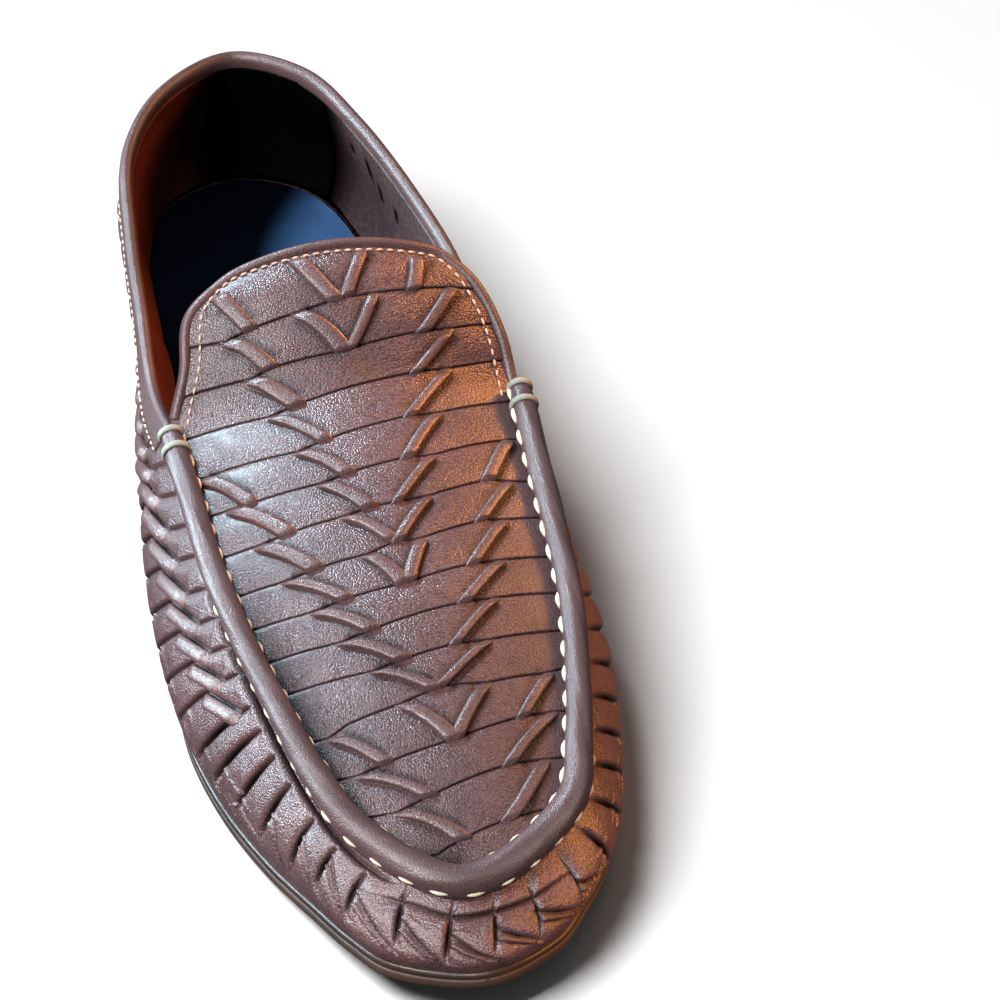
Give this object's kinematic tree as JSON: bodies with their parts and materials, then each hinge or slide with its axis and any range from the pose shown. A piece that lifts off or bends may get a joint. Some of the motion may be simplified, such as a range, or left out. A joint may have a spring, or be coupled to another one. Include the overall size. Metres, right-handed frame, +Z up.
{
  "type": "woven leather slip-on shoe",
  "caption": "Low slip-on loafer for the right foot with a woven leather upper, a rolled seam around a woven apron that ends in a free tongue, and a thin leather sole with a low heel.",
  "frame": {"origin": "on the floor under the middle of the shoe's bounding box", "axes": "+Z up from the floor, +Y from the toe toward the heel, +X toward the inner (medial) side of the foot"},
  "size_m": [0.102, 0.2948, 0.0835],
  "materials": {
    "sole_leather": "matt tan sole leather",
    "sole_edge": "dark waxed and burnished edge",
    "heel_stack": "dark waxed stacked leather",
    "insole_leather": "matt blue lining leather",
    "woven_leather": "satin brown grain leather",
    "roll_leather": "satin brown grain leather",
    "binding_leather": "satin brown grain leather"
  },
  "bodies": {
    "root": {"outsole": "sole_leather", "welt": "sole_edge", "heel": "heel_stack", "insole": "insole_leather", "upper": "woven_leather", "apron_roll": "roll_leather", "collar_binding": "binding_leather", "tongue_binding": "binding_leather"}
  },
  "joints": []
}
